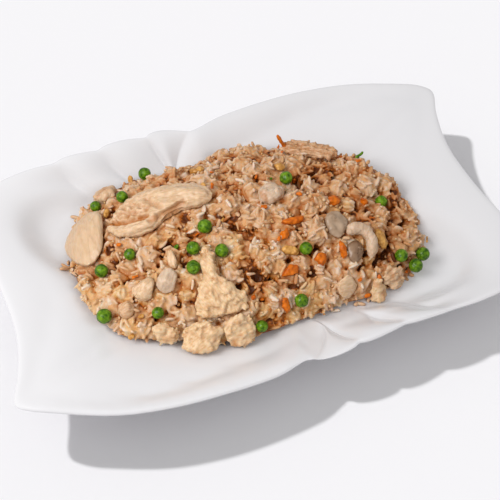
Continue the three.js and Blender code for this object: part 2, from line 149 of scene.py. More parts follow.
def new_material(name, settings):
    material = bpy.data.materials.new(name)
    material.use_nodes = True
    bsdf = material.node_tree.nodes["Principled BSDF"]
    for label, value in settings.items():
        bsdf.inputs[label].default_value = value
    return material, material.node_tree, bsdf


def noise_over(tree, scale, detail=2, places=None):
    pattern = tree.nodes.new("ShaderNodeTexNoise")
    pattern.inputs["Scale"].default_value = scale
    pattern.inputs["Detail"].default_value = detail
    places = places or tree.nodes.new("ShaderNodeTexCoord").outputs["Object"]
    tree.links.new(places, pattern.inputs["Vector"])
    return pattern.outputs["Fac"]


def raised(tree, bsdf, height, strength, distance):
    bump = tree.nodes.new("ShaderNodeBump")
    bump.inputs["Strength"].default_value = strength
    bump.inputs["Distance"].default_value = distance
    tree.links.new(height, bump.inputs["Height"])
    tree.links.new(bump.outputs["Normal"], bsdf.inputs["Normal"])


def finished(piece, material, slot, *nodes):
    pick(piece)
    bpy.ops.object.shade_smooth()
    piece.data.materials.append(material)
    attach(piece, "root")
    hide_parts(*nodes)


china = copy_of_node("platter", "china_platter")
bpy.ops.object.mode_set(mode="EDIT")
bpy.ops.mesh.select_all(action="SELECT")
bpy.ops.mesh.tris_convert_to_quads(face_threshold=QUADS_WITHIN, shape_threshold=QUADS_WITHIN)
bpy.ops.object.mode_set(mode="OBJECT")
smooth = eased(china, POCKET_ROUNDS)
pocket_x, pocket_y, pocket_radius = POCKET_MM
for vertex in china.data.vertices:
    away = ((vertex.co.x / MM - pocket_x) ** 2 + (vertex.co.y / MM - pocket_y) ** 2) ** 0.5
    if away < pocket_radius and vertex.normal.z > POCKET_FACES_UP:
        share = 1 - (away / pocket_radius) ** 2
        vertex.co.z += (smooth[vertex.index][2] - vertex.co.z) * share
china.data.update()
apply_modifier(china, "SUBSURF", levels=2, render_levels=2)

glaze, tree, bsdf = new_material("white glaze", {
    "Base Color": (0.72, 0.71, 0.725, 1), "Roughness": 0.26,
    "Coat Weight": 0.3, "Coat Roughness": 0.06,
})
raised(tree, bsdf, noise_over(tree, 28), 0.05, 0.4 * MM)
finished(china, glaze, "glaze", "platter")

# Inside of the heap
# Sticky rice pressed together, tan and brown with soy sauce, which shows in gaps between grains.
# It is the heap's solid, raised in rounded clumps with creases between them. Painted shade darkens
# the creases and makes the hollows near black, and painted light makes the crests paler.
CORE_VOXEL = 1.3 * MM
CORE_ROUNDS = 12
CORE_DOWN = 6.6 * MM
CORE_IN = 0.3 * MM
CLUMP_TRIES = 6000
CLUMP_SPACING = 8.4 * MM
CLUMP_RADII = (5 * MM, 9 * MM)
CLUMP_LIFT = 1.4 * MM
CLUMPS_NEAR = 5
CREASE_DEPTH = 2.5 * MM
# The clumps' edges wander by the first, in waves as long as the second
WANDER_MM = 0.9
WANDER_WAVES = 3 * MM
# Nearer to a topping than the first no clump rises, and past the second it rises in full
TOPPING_ROOM = (0.2 * MM, 3.5 * MM)
TOPPING_REACH = 12 * MM
# Height of a clump that is neither crest nor crease, and how far above it a full crest is
CREST_MIDDLE = 4.8 * MM
CREST_SPAN = 2.8 * MM
HEAP_FOOT = 10 * MM
UNDERSIDE = -0.2
# Hollows pressed into the heap, which get near black painted shade: x, y, radius and depth in
# millimetres
HOLLOWS_MM = [
    (-6, -40, 5, 8), (-15, -35, 3, 4), (15, -50, 4, 5), (4, -25, 5, 4), (-20, -44, 3.5, 4),
    (-56, -41, 3.5, 4), (79, -11, 4, 6), (-37, 11, 5, 4), (-85, 11, 5, 4), (64, -39, 5, 5),
    (29, -44, 3.5, 4), (80, -44, 3, 3), (50, -45, 3.5, 3), (-46, -20, 4, 4), (-41, -14, 3, 3),
]
# A hollow this deep gets its full painted shade
GAP_DEPTH = 4 * MM
# Wide shallow places in the same order. One with a depth below nothing is a rise.
SHALLOWS_MM = [
    (-35, 57, 9, -8), (-12, 70, 12, 8), (-66, 74, 10, 4), (86, 37, 8, -7), (92, 21, 9, -6),
    (101, 6, 12, -6), (113, -9, 10, 10),
]
# Peas that lie deep in the rice, and how far they are let down in millimetres
SUNK_PEAS_MM = {
    "pea_3": 2.5, "pea_9": 1.5, "pea_11": 3.2, "pea_13": 4.2, "pea_14": 4.2, "pea_16": 2.6,
}
NOT_COVERING = ("platter", "fried_rice", *SUNK_PEAS_MM)
dice = np.random.default_rng(3)
noise.seed_set(3)


def tree_of(objects):
    points, faces = [], []
    for item in objects:
        start = len(points)
        points += [vertex.co.copy() for vertex in item.data.vertices]
        faces += [[start + i for i in polygon.vertices] for polygon in item.data.polygons]
    return BVHTree.FromPolygons(points, faces)


def point_tree(points):
    tree = KDTree(len(points))
    for index, point in enumerate(points):
        tree.insert(Vector(point), index)
    tree.balance()
    return tree


def between(value, low, high):
    share = min(max((value - low) / (high - low), 0), 1)
    return share * share * (3 - 2 * share)


def surface_points(item, count):
    mesh = item.data
    mesh.calc_loop_triangles()
    triangles = np.array([triangle.vertices for triangle in mesh.loop_triangles])
    corners = points_of(item)[triangles]
    normals = np.cross(corners[:, 1] - corners[:, 0], corners[:, 2] - corners[:, 0])
    areas = np.linalg.norm(normals, axis=1)
    normals /= areas[:, None] + 1e-12
    areas[normals[:, 2] < -0.1] = 0
    chosen = dice.choice(len(areas), count, p=areas / areas.sum())
    u, v = dice.random(count), dice.random(count)
    flip = u + v > 1
    u[flip], v[flip] = 1 - u[flip], 1 - v[flip]
    a, b, c = corners[chosen, 0], corners[chosen, 1], corners[chosen, 2]
    return a + u[:, None] * (b - a) + v[:, None] * (c - a), normals[chosen], triangles[chosen, 0]


def remade(piece, voxel, rounds, factor=0.5):
    apply_modifier(piece, "REMESH", mode="VOXEL", voxel_size=voxel)
    apply_modifier(piece, "SMOOTH", factor=factor, iterations=rounds)


def presses(point, places):
    for x, y, radius, depth in places:
        way = ((point.x / MM - x) ** 2 + (point.y / MM - y) ** 2) ** 0.5 / radius
        yield depth * MM * max(0, 1 - way * way)


def move_points(item, points):
    item.data.vertices.foreach_set("co", np.array(points).ravel())
    item.data.update()


def mark(item, label, values):
    item.data.attributes.new(label, "FLOAT", "POINT").data.foreach_set("value", values)


covering = [name for name in frame["nodes"] if name not in NOT_COVERING]
toppings_tree = tree_of([frame["nodes"][name] for name in covering])
core = copy_of_node("fried_rice", "rice_inside")
remade(core, CORE_VOXEL, CORE_ROUNDS, 0.6)

middles, radii, lifts = [], [], []
for point in surface_points(core, CLUMP_TRIES)[0]:
    if all(np.linalg.norm(point - middle) > CLUMP_SPACING for middle in middles):
        middles.append(point)
        radii.append(dice.uniform(*CLUMP_RADII))
        lifts.append(dice.normal(0, CLUMP_LIFT))
clumps = point_tree(middles)

gaps, crests, owners, moved = [], [], [], []
for vertex in core.data.vertices:
    point = vertex.co.copy()
    normal = vertex.normal.copy()
    place, _, _, distance = toppings_tree.find_nearest(point, TOPPING_REACH)
    free = 1 if place is None else between(distance, *TOPPING_ROOM)
    shifted = point + noise.noise_vector(point / WANDER_WAVES) * WANDER_MM * MM
    best, owner = -CREASE_DEPTH, 0
    for _, i, away in clumps.find_n(shifted, CLUMPS_NEAR):
        if away < radii[i]:
            rise = (radii[i] ** 2 - away ** 2) ** 0.5 + lifts[i]
            if rise > best:
                best, owner = rise, i
    press = 0
    for depth in presses(point, HOLLOWS_MM):
        press = max(press, depth)
    owners.append(owner)
    # How deep the point lies in a hollow, which sets its painted shade and lowers its crest
    gaps.append(min(press / GAP_DEPTH, 1))
    for depth in presses(point, SHALLOWS_MM):
        press += depth
    crests.append(max(-1, min(1, (best - CREST_MIDDLE) / CREST_SPAN)) * free - gaps[-1])
    if normal.z > UNDERSIDE and point.z > HEAP_FOOT:
        point = point + normal * (free * (best - CORE_DOWN) - CORE_IN) - Vector((0, 0, press))
    moved.append(point)
move_points(core, moved)
gaps, crests, owners = np.array(gaps), np.array(crests), np.array(owners)
mark(core, "gap", gaps)
mark(core, "crest", crests)


def attribute(tree, label):
    node = tree.nodes.new("ShaderNodeAttribute")
    node.attribute_name = label
    return node.outputs


def two_tones(tree, value, low_at, low, high_at, high):
    ramp = tree.nodes.new("ShaderNodeValToRGB")
    first, last = ramp.color_ramp.elements
    first.position, last.position = low_at, high_at
    first.color, last.color = (*low, 1), (*high, 1)
    tree.links.new(value, ramp.inputs["Fac"])
    return ramp.outputs["Color"]


# Mixes a darker tone into a colour: real brown stains, and painted shade in hollows and creases
def stained_and_shaded(tree, share, colour, dark_tone):
    mix = tree.nodes.new("ShaderNodeMix")
    mix.data_type = "RGBA"
    mix.inputs["B"].default_value = (*dark_tone, 1)
    tree.links.new(share, mix.inputs["Factor"])
    tree.links.new(colour, mix.inputs["A"])
    return mix.outputs["Result"]


pressed_rice, tree, bsdf = new_material("pressed rice", {
    "Roughness": 0.6, "Subsurface Weight": 0.2,
    "Subsurface Radius": (1, 0.5, 0.25), "Subsurface Scale": 2 * MM,
})
# Painted shade in the creases and painted light on the crests by the crest value, with a mottle
mottle = noise_over(tree, 300, 3)
blend = tree.nodes.new("ShaderNodeMath")
blend.operation = "MULTIPLY_ADD"
blend.inputs[1].default_value = 0.5
tree.links.new(attribute(tree, "crest")["Fac"], blend.inputs[0])
tree.links.new(mottle, blend.inputs[2])
tones = two_tones(tree, blend.outputs["Value"], 0.1, (0.30, 0.08, 0.012), 0.75, (0.60, 0.29, 0.105))
# Near black painted shade in the hollows
tones = stained_and_shaded(tree, attribute(tree, "gap")["Fac"], tones, (0.07, 0.02, 0.006))
tree.links.new(tones, bsdf.inputs["Base Color"])
raised(tree, bsdf, mottle, 0.8, 1 * MM)
finished(core, pressed_rice, "rice", "fried_rice")

# Chicken
# Torn, sliced and chopped cooked breast, pale and moist. Each piece is its solid made round, with
# the fibres of the meat raised along it, or cut into flat faces, or rough with egg stuck to it. It
# has brown stains, and painted shade browns its hollows, creases and the dips between shreds.
# Way it is made, direction of the fibres in degrees, height of fibres and of lumps, and finish
MEAT = {
    "chicken_left_slab": ("sliced", 83, 0.12, 0.35, "pale meat"),
    "chicken_long_strip": ("sliced", -10, 0.2, 0.8, "meat"),
    "chicken_fork": ("torn", -70, 0.2, 1.6, "egged meat"),
    "chicken_nugget": ("egged", 20, 0.1, 1.4, "egged meat"),
    "chicken_lump": ("egged", 10, 0.1, 1.4, "egged meat"),
    "chicken_flake_back": ("torn", 40, 0.3, 0.5, "pale meat"),
    "chicken_flake_front": ("egged", -20, 0.1, 1.4, "egged meat"),
    "chicken_chunk_left": ("chopped", 30, 0.3, 0.5, "meat"),
    "chicken_chunk_pale": ("chopped", 60, 0.2, 0.4, "white meat"),
    "chicken_chunk_small": ("chopped", 80, 0.3, 0.5, "meat"),
    "chicken_chunk_brown": ("chopped", 10, 0.3, 0.6, "browned meat"),
    "chicken_chunk_top": ("egged", 20, 0.3, 0.6, "white meat"),
    "chicken_chunk_right": ("chopped", 0, 0.3, 0.6, "meat"),
    "chicken_chunk_edge": ("torn", 40, 0.3, 1.0, "egged meat"),
    "chicken_slab_right": ("torn", 10, 0.5, 1.0, "meat"),
    "chicken_back_strip": ("torn", -27, 0.9, 1.2, "browned meat"),
    "chicken_curl": ("sliced", 60, 0.3, 0.7, "grey meat"),
}
# Creases: a line of places in millimetres, half the width, depth, and how much painted shade
# browns it. A depth below nothing raises a fold.
MEAT_CREASES = {
    "chicken_long_strip": [
        ([(-84, 29), (-80.4, 27), (-76.2, 22.6), (-71.7, 19.4), (-66.5, 18.4), (-60, 17)],
         2.2, 3.2, 1.0),
        ([(-83, 25), (-79, 17.2), (-72, 13.4), (-65.2, 11.7), (-59.3, 11.6), (-55.4, 13.7)],
         2.6, -2.2, 0),
        ([(-58.3, 12.5), (-52.5, 13.6), (-47, 14.6), (-41.4, 15.6), (-35.7, 17)], 2.4, 2.2, 0.7),
        ([(-59.1, 36.9), (-47.1, 31.9), (-35.2, 26.9), (-24.1, 19.9)], 5, -1.5, 0),
        ([(-56, 30), (-54, 24), (-50, 19)], 2.4, 1.6, 0.4),
        ([(-75, 30), (-69, 26), (-64, 22)], 1.8, 1.4, 0.4),
        ([(-71, 36), (-64, 30), (-60, 25)], 1.8, 1.2, 0.3),
        ([(-60, 41), (-50, 38), (-38, 34)], 1.5, 0.6, 0.1),
    ],
    "chicken_left_slab": [
        ([(-103, 46), (-101, 30), (-99, 14)], 1.8, 0.45, 0.05),
        ([(-97, 46), (-96, 32), (-94, 18)], 1.8, 0.45, 0.1),
        ([(-109, 34), (-107, 24), (-105, 16)], 2, 0.4, 0.05),
    ],
    "chicken_fork": [
        ([(-32, -20), (-32, -29), (-34, -38)], 2.0, -1.2, 0),
        ([(-29, -26), (-29.5, -36), (-25, -42)], 1.6, 0.8, 0.2),
    ],
    "chicken_back_strip": [
        ([(42, 57), (56, 52.5), (68, 45), (76, 40)], 0.9, 1.2, 0.7),
        ([(44, 52), (56, 48.5), (66, 42)], 0.8, 1.0, 0.6),
    ],
}
# Torn places: x, y and radius in millimetres, and the height of the shreds
MEAT_TORN = {
    "chicken_long_strip": [(-70, 28, 12, 3.6), (-61, 24, 8, 2.2)],
    "chicken_flake_back": [(-78, 65, 8, 1.2)],
    "chicken_slab_right": [(80, -55, 8, 1.2)],
    "chicken_back_strip": [(50, 53, 8, 0.9), (70, 43, 8, 0.9)],
}
FLAT_FACES = 7
STAINS = 0.2
PLUMPED_MM = {"chicken_curl": 0.8, "chicken_chunk_top": 0.8, "chicken_flake_back": 1.2}
MEAT_VOXEL_MM = 0.6
# Sizes along, across and up in millimetres of raised fibres, of coloured fibres and of stains
RAISED_FIBRES_MM = (6, 0.9, 1.5)
COLOURED_FIBRES_MM = (7, 1.1, 1.4)
STAINS_MM = (9, 3, 4)
LUMPS = 6 * MM
SMALL_LUMPS = 2.4 * MM
EGG_FLECKS = 4 * MM
RIDGE_ROUNDS = 12
SHRED_CELLS = 2.6 * MM
SHRED_NOISE = 3 * MM
GRAIN_LENGTH = 6.8 * MM
GRAIN_WIDTH = 2.5 * MM
BROKEN_SHARE = 0.3
# Square millimetres of meat for each grain of rice stuck to it by the egg
MEAT_PER_GRAIN = {"egged": 10, "torn": 26}
MEAT_SMOOTHING = {"egged": 8, "torn": 12}
GRAINS_SUNK = 0.1 * MM


def meat_material(name, low, high, roughness):
    material, tree, bsdf = new_material(name, {
        "Roughness": roughness, "Specular IOR Level": 0.4, "Subsurface Weight": 0.4,
        "Subsurface Radius": (1, 0.6, 0.35), "Subsurface Scale": 2.5 * MM,
    })
    strands = noise_over(tree, 1, 3, attribute(tree, "fibre")["Vector"])
    tones = two_tones(tree, strands, 0.25, low, 0.6, high)
    # Brown stains and egg flecks, and painted shade in hollows, creases and between shreds
    tones = stained_and_shaded(tree, attribute(tree, "brown")["Fac"], tones, (0.42, 0.15, 0.03))
    tree.links.new(tones, bsdf.inputs["Base Color"])
    raised(tree, bsdf, strands, 0.4, 0.6 * MM)
    return material


MEAT_FINISHES = {
    "pale meat": meat_material("pale meat", (0.54, 0.355, 0.205), (0.63, 0.44, 0.28), 0.4),
    "meat": meat_material("cooked meat", (0.50, 0.31, 0.16), (0.68, 0.48, 0.31), 0.42),
    "white meat": meat_material("white meat", (0.48, 0.335, 0.22), (0.61, 0.455, 0.33), 0.35),
    "grey meat": meat_material("grey meat", (0.44, 0.29, 0.18), (0.60, 0.43, 0.30), 0.38),
    "browned meat": meat_material("browned meat", (0.42, 0.21, 0.09), (0.62, 0.40, 0.24), 0.42),
    "egged meat": meat_material("egg coated meat", (0.56, 0.325, 0.14), (0.72, 0.52, 0.32), 0.5),
}


def distance_to_line(x, y, line):
    nearest = 1e9
    for (ax, ay), (bx, by) in zip(line, line[1:]):
        dx, dy = bx - ax, by - ay
        way = min(max(((x - ax) * dx + (y - ay) * dy) / (dx * dx + dy * dy), 0), 1)
        nearest = min(nearest, ((x - ax - way * dx) ** 2 + (y - ay - way * dy) ** 2) ** 0.5)
    return nearest


def spindle(sides=6, rings=7, bend=0.16, blunt=0.65):
    points = [(-0.5, 0, 0)]
    for ring in range(1, rings):
        along = -0.5 * cos(pi * ring / rings)
        radius = 0.5 * sin(pi * ring / rings) ** blunt
        for side in range(sides):
            turn = 2 * pi * side / sides
            points.append((along, radius * cos(turn), radius * sin(turn)))
    points.append((0.5, 0, 0))
    last = len(points) - 1
    faces = []
    for side in range(sides):
        after = (side + 1) % sides
        faces.append((0, 1 + after, 1 + side))
        faces.append((last, last - sides + side, last - sides + after))
        for ring in range(rings - 2):
            a, b = 1 + ring * sides + side, 1 + ring * sides + after
            faces += [(a, b, b + sides), (a, b + sides, a + sides)]
    points = np.array(points)
    points[:, 2] += bend * (4 * points[:, 0] ** 2 - 0.5)
    return points, np.array(faces)


def scattered_mesh(name, form, places, axes, sizes, tints, eggs):
    points, faces = form
    count = len(places)
    shaped = points[None, :, :] * sizes[:, None, :]
    world = np.einsum("nij,nvj->nvi", axes, shaped) + places[:, None, :]
    corners = faces[None, :, :] + (np.arange(count) * len(points))[:, None, None]
    mesh = bpy.data.meshes.new(name)
    mesh.vertices.add(count * len(points))
    mesh.vertices.foreach_set("co", world.ravel())
    mesh.loops.add(corners.size)
    mesh.loops.foreach_set("vertex_index", corners.ravel())
    mesh.polygons.add(corners.size // 3)
    mesh.polygons.foreach_set("loop_start", np.arange(0, corners.size, 3))
    mesh.update(calc_edges=True)
    mesh.shade_smooth()
    piece = bpy.data.objects.new(name, mesh)
    bpy.context.collection.objects.link(piece)
    mark(piece, "tint", np.repeat(tints, len(points)))
    mark(piece, "egg", np.repeat(eggs, len(points)))
    return piece


def lying_axes(normals, tilt_degrees, leads=None, spread=0.8):
    count = len(normals)
    loose = dice.normal(size=(count, 3))
    if leads is not None:
        loose = leads + spread * loose
    along = loose - (loose * normals).sum(1)[:, None] * normals
    along /= np.linalg.norm(along, axis=1)[:, None]
    tilt = np.radians(dice.normal(0, tilt_degrees, count))[:, None]
    along = np.cos(tilt) * along + np.sin(tilt) * normals
    side = np.cross(normals, along)
    side /= np.linalg.norm(side, axis=1)[:, None]
    roll = dice.uniform(0, 2 * pi, count)[:, None]
    lift = np.cross(along, side)
    rolled_side = np.cos(roll) * side + np.sin(roll) * lift
    rolled_lift = np.cos(roll) * lift - np.sin(roll) * side
    return np.stack([along, rolled_side, rolled_lift], axis=2)


def grain_sizes(count, length, width):
    whole = dice.random(count) > BROKEN_SHARE
    lengths = np.where(whole, dice.normal(1, 0.09, count), dice.uniform(0.45, 0.85, count))
    widths = dice.normal(1, 0.1, (count, 2)) * width * (1, 0.85)
    return np.column_stack([lengths * length, widths])


def normals_of(item):
    return np.array([vertex.normal for vertex in item.data.vertices])


def ridge_heights(item, rounds):
    return ((points_of(item) - eased(item, rounds)) * normals_of(item)).sum(1) / MM


def cells(point, size):
    nearest = noise.voronoi(point / size)[0][0]
    return 0.42 - nearest * nearest


def stretched(place, sizes):
    return Vector([value / size for value, size in zip(place, sizes)])


def cut_flat(piece, count, nearest, size):
    points = points_of(piece)
    low, high = points.min(0), points.max(0)
    middle, half = (low + high) / 2, (high - low) / 2
    ways = (points - middle) / half
    reach = np.linalg.norm(ways, axis=1)[:, None]
    faces = dice.normal(size=(count, 3)) * (1, 1, 0.7) + (0, 0, 0.25)
    faces /= np.linalg.norm(faces, axis=1)[:, None]
    offsets = dice.uniform(nearest, 1.0, count)
    meets = offsets / np.maximum((ways / reach) @ faces.T, 0.05)
    cut = np.minimum(reach, meets.min(1)[:, None])
    move_points(piece, middle + ways / reach * cut * half * size)


for name, (way_made, turn, strand, lump, finish) in MEAT.items():
    piece = copy_of_node(name, name.replace("chicken", "breast"))
    remade(piece, MEAT_VOXEL_MM * MM, 6, 0.6)
    if way_made == "chopped":
        cut_flat(piece, FLAT_FACES, 0.52, 1.18)
        apply_modifier(piece, "SMOOTH", factor=0.5, iterations=2)
    if way_made in MEAT_PER_GRAIN:
        count = int(len(piece.data.polygons) * MEAT_VOXEL_MM ** 2 / MEAT_PER_GRAIN[way_made])
        points, normals, _ = surface_points(piece, count)
        points = points - normals * GRAINS_SUNK
        sizes = grain_sizes(count, GRAIN_LENGTH, GRAIN_WIDTH * 1.1)
        axes = lying_axes(normals, 12)
        plain = np.zeros(count)
        pick(scattered_mesh("grains", spindle(), points, axes, sizes, plain, plain), piece)
        bpy.ops.object.join()
        remade(piece, MEAT_VOXEL_MM * MM, MEAT_SMOOTHING[way_made])
    c, s = cos(radians(turn)), sin(radians(turn))
    fibres, stains_and_shades, moved = [], [], []
    ridges = ridge_heights(piece, RIDGE_ROUNDS)
    for vertex in piece.data.vertices:
        x, y, z = vertex.co / MM
        u, v = x * c + y * s, y * c - x * s
        fibres.extend(stretched((u, v, z), COLOURED_FIBRES_MM))
        rise = strand * noise.noise(stretched((u, v, z), RAISED_FIBRES_MM))
        rise += lump * (noise.noise(vertex.co / LUMPS) + 0.5 * noise.noise(vertex.co / SMALL_LUMPS))
        brown = STAINS * max(0, noise.noise(stretched((u, v, z), STAINS_MM)))
        if way_made in MEAT_PER_GRAIN:
            fleck = 0.8 * max(0, noise.noise(vertex.co / EGG_FLECKS))
            # Painted shade browns the hollows of egged and torn meat; egg flecks are its own colour
            brown = max(brown, fleck, -0.6 * ridges[vertex.index])
        for line, wide, depth, shade in MEAT_CREASES.get(name, []):
            near = max(0, 1 - (distance_to_line(x, y, line) / wide) ** 2)
            if vertex.normal.z > UNDERSIDE:
                rise -= depth * near
            # Painted shade browns the crease
            brown = max(brown, shade * near)
        for tx, ty, radius, height in MEAT_TORN.get(name, []):
            near = max(0, 1 - ((x - tx) ** 2 + (y - ty) ** 2) / radius ** 2)
            shreds = cells(Vector((u * 0.5, v, z)) * MM, SHRED_CELLS)
            shreds += 0.6 * noise.noise(vertex.co / SHRED_NOISE)
            rise += height * near * shreds
            # Painted shade browns the dips between shreds
            brown = max(brown, near * (0.35 - shreds))
        stains_and_shades.append(brown)
        moved.append(vertex.co + vertex.normal * (rise + PLUMPED_MM.get(name, 0)) * MM)
    move_points(piece, moved)
    piece.data.attributes.new("fibre", "FLOAT_VECTOR", "POINT").data.foreach_set("vector", fibres)
    mark(piece, "brown", stains_and_shades)
    finished(piece, MEAT_FINISHES[finish], "chicken", name)

# Peas
# Round cooked peas, soft and green, with a thin wrinkled skin. Each is its solid made round and
# a little dented, and let down among the grains. One shows the ring of its stalk.
PEAS = [name for name in frame["nodes"] if name.startswith("pea_")]
RINGED_PEA = "pea_8"
RING_SIDE = Vector((-0.2, -0.75, 0.6)).normalized()
PEA_SUNK_MM = 0.7
DENTS = 3 * MM
WRINKLES = 1 * MM

skin, tree, bsdf = new_material("pea skin", {
    "Roughness": 0.27, "Specular IOR Level": 0.22, "Subsurface Weight": 0.1,
    "Subsurface Radius": (0.4, 1, 0.1), "Subsurface Scale": 1 * MM,
})
shade = noise_over(tree, 420, 3)
tones = two_tones(tree, shade, 0.35, (0.022, 0.075, 0.001), 0.68, (0.155, 0.285, 0.008))
tree.links.new(tones, bsdf.inputs["Base Color"])
raised(tree, bsdf, shade, 0.8, 0.6 * MM)

for name in PEAS:
    piece = copy_of_node(name, name.replace("pea", "green_pea"))
    apply_modifier(piece, "SUBSURF", levels=3, render_levels=3)
    low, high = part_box(name)
    middle = (Vector(low) + Vector(high)) / 2
    radius = (high[0] - low[0]) / 2
    down = Vector((0, 0, SUNK_PEAS_MM.get(name, PEA_SUNK_MM) * MM))
    for vertex in piece.data.vertices:
        out = vertex.co - middle
        dent = 0.06 * noise.noise(out / DENTS + middle * 900)
        dent += 0.025 * noise.noise(out / WRINKLES + middle * 900)
        if name == RINGED_PEA:
            off = out.normalized().dot(RING_SIDE)
            dent -= 0.16 * between(off, 0.8, 0.86) * (1 - 0.7 * between(off, 0.93, 0.97))
        vertex.co = middle + out.normalized() * radius * (1.02 + dent) - down
    piece.data.update()
    finished(piece, skin, "pea", name)

# Carrot
# Small dice and slivers of cooked carrot, cut with flat faces and softened at the corners. Each is
# its solid, made round, cut flat again and left a little uneven. It lies on the rice.
CARROTS = [name for name in frame["nodes"] if name.startswith("carrot_")]
CARROT_VOXEL = 0.4 * MM

carrot, tree, bsdf = new_material("cooked carrot", {"Roughness": 0.4, "Specular IOR Level": 0.25})
shade = noise_over(tree, 240)
tones = two_tones(tree, shade, 0.3, (0.40, 0.07, 0.002), 0.6, (0.64, 0.15, 0.004))
tree.links.new(tones, bsdf.inputs["Base Color"])

for name in CARROTS:
    piece = copy_of_node(name, name.replace("carrot", "carrot_dice"))
    apply_modifier(piece, "REMESH", mode="VOXEL", voxel_size=CARROT_VOXEL)
    cut_flat(piece, 8, 0.5, 1.25)
    apply_modifier(piece, "SMOOTH", factor=0.5, iterations=1)
    uneven = []
    for vertex in piece.data.vertices:
        uneven.append(noise.noise(vertex.co / (2 * MM)) * 0.7 * MM * vertex.normal)
    move_points(piece, points_of(piece) + np.array(uneven))
    finished(piece, carrot, "carrot", name)

# Egg
# Torn bits of fried egg, yellow with browned places. Each is its solid, made round and then
# craggy. It lies on the rice.
EGGS = [name for name in frame["nodes"] if name.startswith("egg_")]
EGG_VOXEL = 0.5 * MM

egg, tree, bsdf = new_material("fried egg", {"Roughness": 0.45})
shade = noise_over(tree, 300)
tones = two_tones(tree, shade, 0.35, (0.38, 0.15, 0.015), 0.6, (0.66, 0.34, 0.08))
tree.links.new(tones, bsdf.inputs["Base Color"])

for name in EGGS:
    piece = copy_of_node(name, name.replace("egg", "fried_egg"))
    remade(piece, EGG_VOXEL, 4)
    for vertex in piece.data.vertices:
        crag = noise.noise(vertex.co / (1.5 * MM)) + noise.noise(vertex.co / (3 * MM))
        vertex.co = vertex.co + vertex.normal * 0.5 * MM * crag
    piece.data.update()
    finished(piece, egg, "egg", name)

# Onion
# Soft leaves of onion, pale or brown from the pan. Each is its solid, made round and uneven, and
# let down a little among the grains.
ONION_VOXEL = 0.6 * MM
ONION_SUNK_MM = 0.8


def onion_material(name, low, high):
    material, tree, bsdf = new_material(name, {"Roughness": 0.35})
    tones = two_tones(tree, noise_over(tree, 200), 0.3, low, 0.65, high)
    tree.links.new(tones, bsdf.inputs["Base Color"])
    return material


ONIONS = {
    "onion_leaf": onion_material("pale onion", (0.29, 0.185, 0.11), (0.43, 0.30, 0.20)),
    "onion_sheet": onion_material("browned onion", (0.18, 0.095, 0.05), (0.28, 0.17, 0.10)),
}
for name, onion in ONIONS.items():
    piece = copy_of_node(name, name.replace("onion", "soft_onion"))
    remade(piece, ONION_VOXEL, 4)
    for vertex in piece.data.vertices:
        uneven = 0.6 + 1.2 * noise.noise(vertex.co / (5 * MM))
        vertex.co += (vertex.normal * uneven - Vector((0, 0, ONION_SUNK_MM))) * MM
    finished(piece, onion, "onion", name)

# Small bits
# Slivers and dice of carrot, shreds of egg and scraps of green stalk too small to be picked out.
# Each is a rough four or five sided bit pressed among the grains.
# For each bit: x, y, length and width in millimetres, turn in degrees, and where it stands up, how
# steeply in degrees
CARROT_BITS = [
    (11, -1, 4.5, 4, 10), (-13, -52, 4, 3, 40), (59, -59, 4.5, 3.5, -20), (88, -21, 4, 3, 30),
    (79, 41, 5.5, 3.5, -30, 40), (77, -19, 5, 2, 20), (71, -52, 4.5, 4, 60), (-22, 0, 4, 3, 10),
    (-25, 7, 3.5, 3, 80), (-32, -4, 3.5, 2.5, 0), (-15, 27, 5.5, 2.5, 70), (-11, 41, 4.5, 3, 50),
    (-21, 79, 4, 3, 20), (49, 83, 6, 2, 60), (37, 4, 4, 3, -40), (57, 2, 4, 3, 10),
    (85, 25, 3.5, 2.5, 0), (18, 30, 3, 2.5, 20), (43, 25, 3.5, 3, 10), (-79, 10, 4, 2.5, -20),
    (-46, -28, 3, 2.5, 0), (-77, -19, 4, 3, 30), (13, -23, 3.5, 2.5, 60), (-7, -51, 3, 2.5, 0),
    (56, -54, 3.5, 2.5, 20), (89, -49, 3.5, 2.5, 0), (45.5, 54, 17.5, 4.4, 155, 63),
    (43, 54, 6, 2.4, 20, 25),
]
EGG_BITS = [
    (-19, 29, 5, 4, 20), (-57, 77, 6, 4, 80), (-82, 44, 6, 4, 60), (-79, -42, 4, 3, 0),
    (-88, -49, 4, 3, 20), (-16, 3, 3.5, 3, 40), (111, -30, 8, 2, 10),
]
GREEN_BITS = [(-46, -8, 4, 3.5, 0), (23, 23, 2.5, 2.2, 30), (88, 34, 7, 2.4, 20, 12)]
BITS_UP = 2.4 * MM
DOWNWARDS = Vector((0, 0, -1))
core_tree = tree_of([core])


def strewn_bits(name, bits, form, material, slot):
    bits = np.array([bit + (0,) * (6 - len(bit)) for bit in bits])
    places, axes = [], []
    for x, y, length, _, turn, rise in bits:
        place, normal, _, _ = core_tree.ray_cast(Vector((x, y, 100)) * MM, DOWNWARDS)
        if place is None:
            place, normal, _, _ = core_tree.find_nearest(Vector((x, y, 20)) * MM)
        turn, rise = radians(turn), radians(rise)
        along = Vector((cos(turn) * cos(rise), sin(turn) * cos(rise), sin(rise)))
        if rise == 0:
            along = (along - along.dot(normal) * normal).normalized()
        side = normal.cross(along).normalized()
        places.append(place + normal * BITS_UP + along * sin(rise) * length / 2 * MM)
        axes.append(np.column_stack([along, side, along.cross(side)]))
    sizes = bits[:, (2, 3, 3)] * (1.15, 1.15, 0.8) * MM
    tints = dice.uniform(0.2, 0.8, len(bits))
    piece = scattered_mesh(name, form, np.array(places), np.array(axes), sizes, tints, tints)
    pick(piece)
    apply_modifier(piece, "SUBSURF", levels=2, render_levels=2)
    crags = []
    for vertex in piece.data.vertices:
        crags.append(noise.noise_vector(vertex.co / (1.5 * MM)) * 0.45 * MM)
    move_points(piece, points_of(piece) + np.array(crags))
    finished(piece, material, slot, "fried_rice")
    return piece


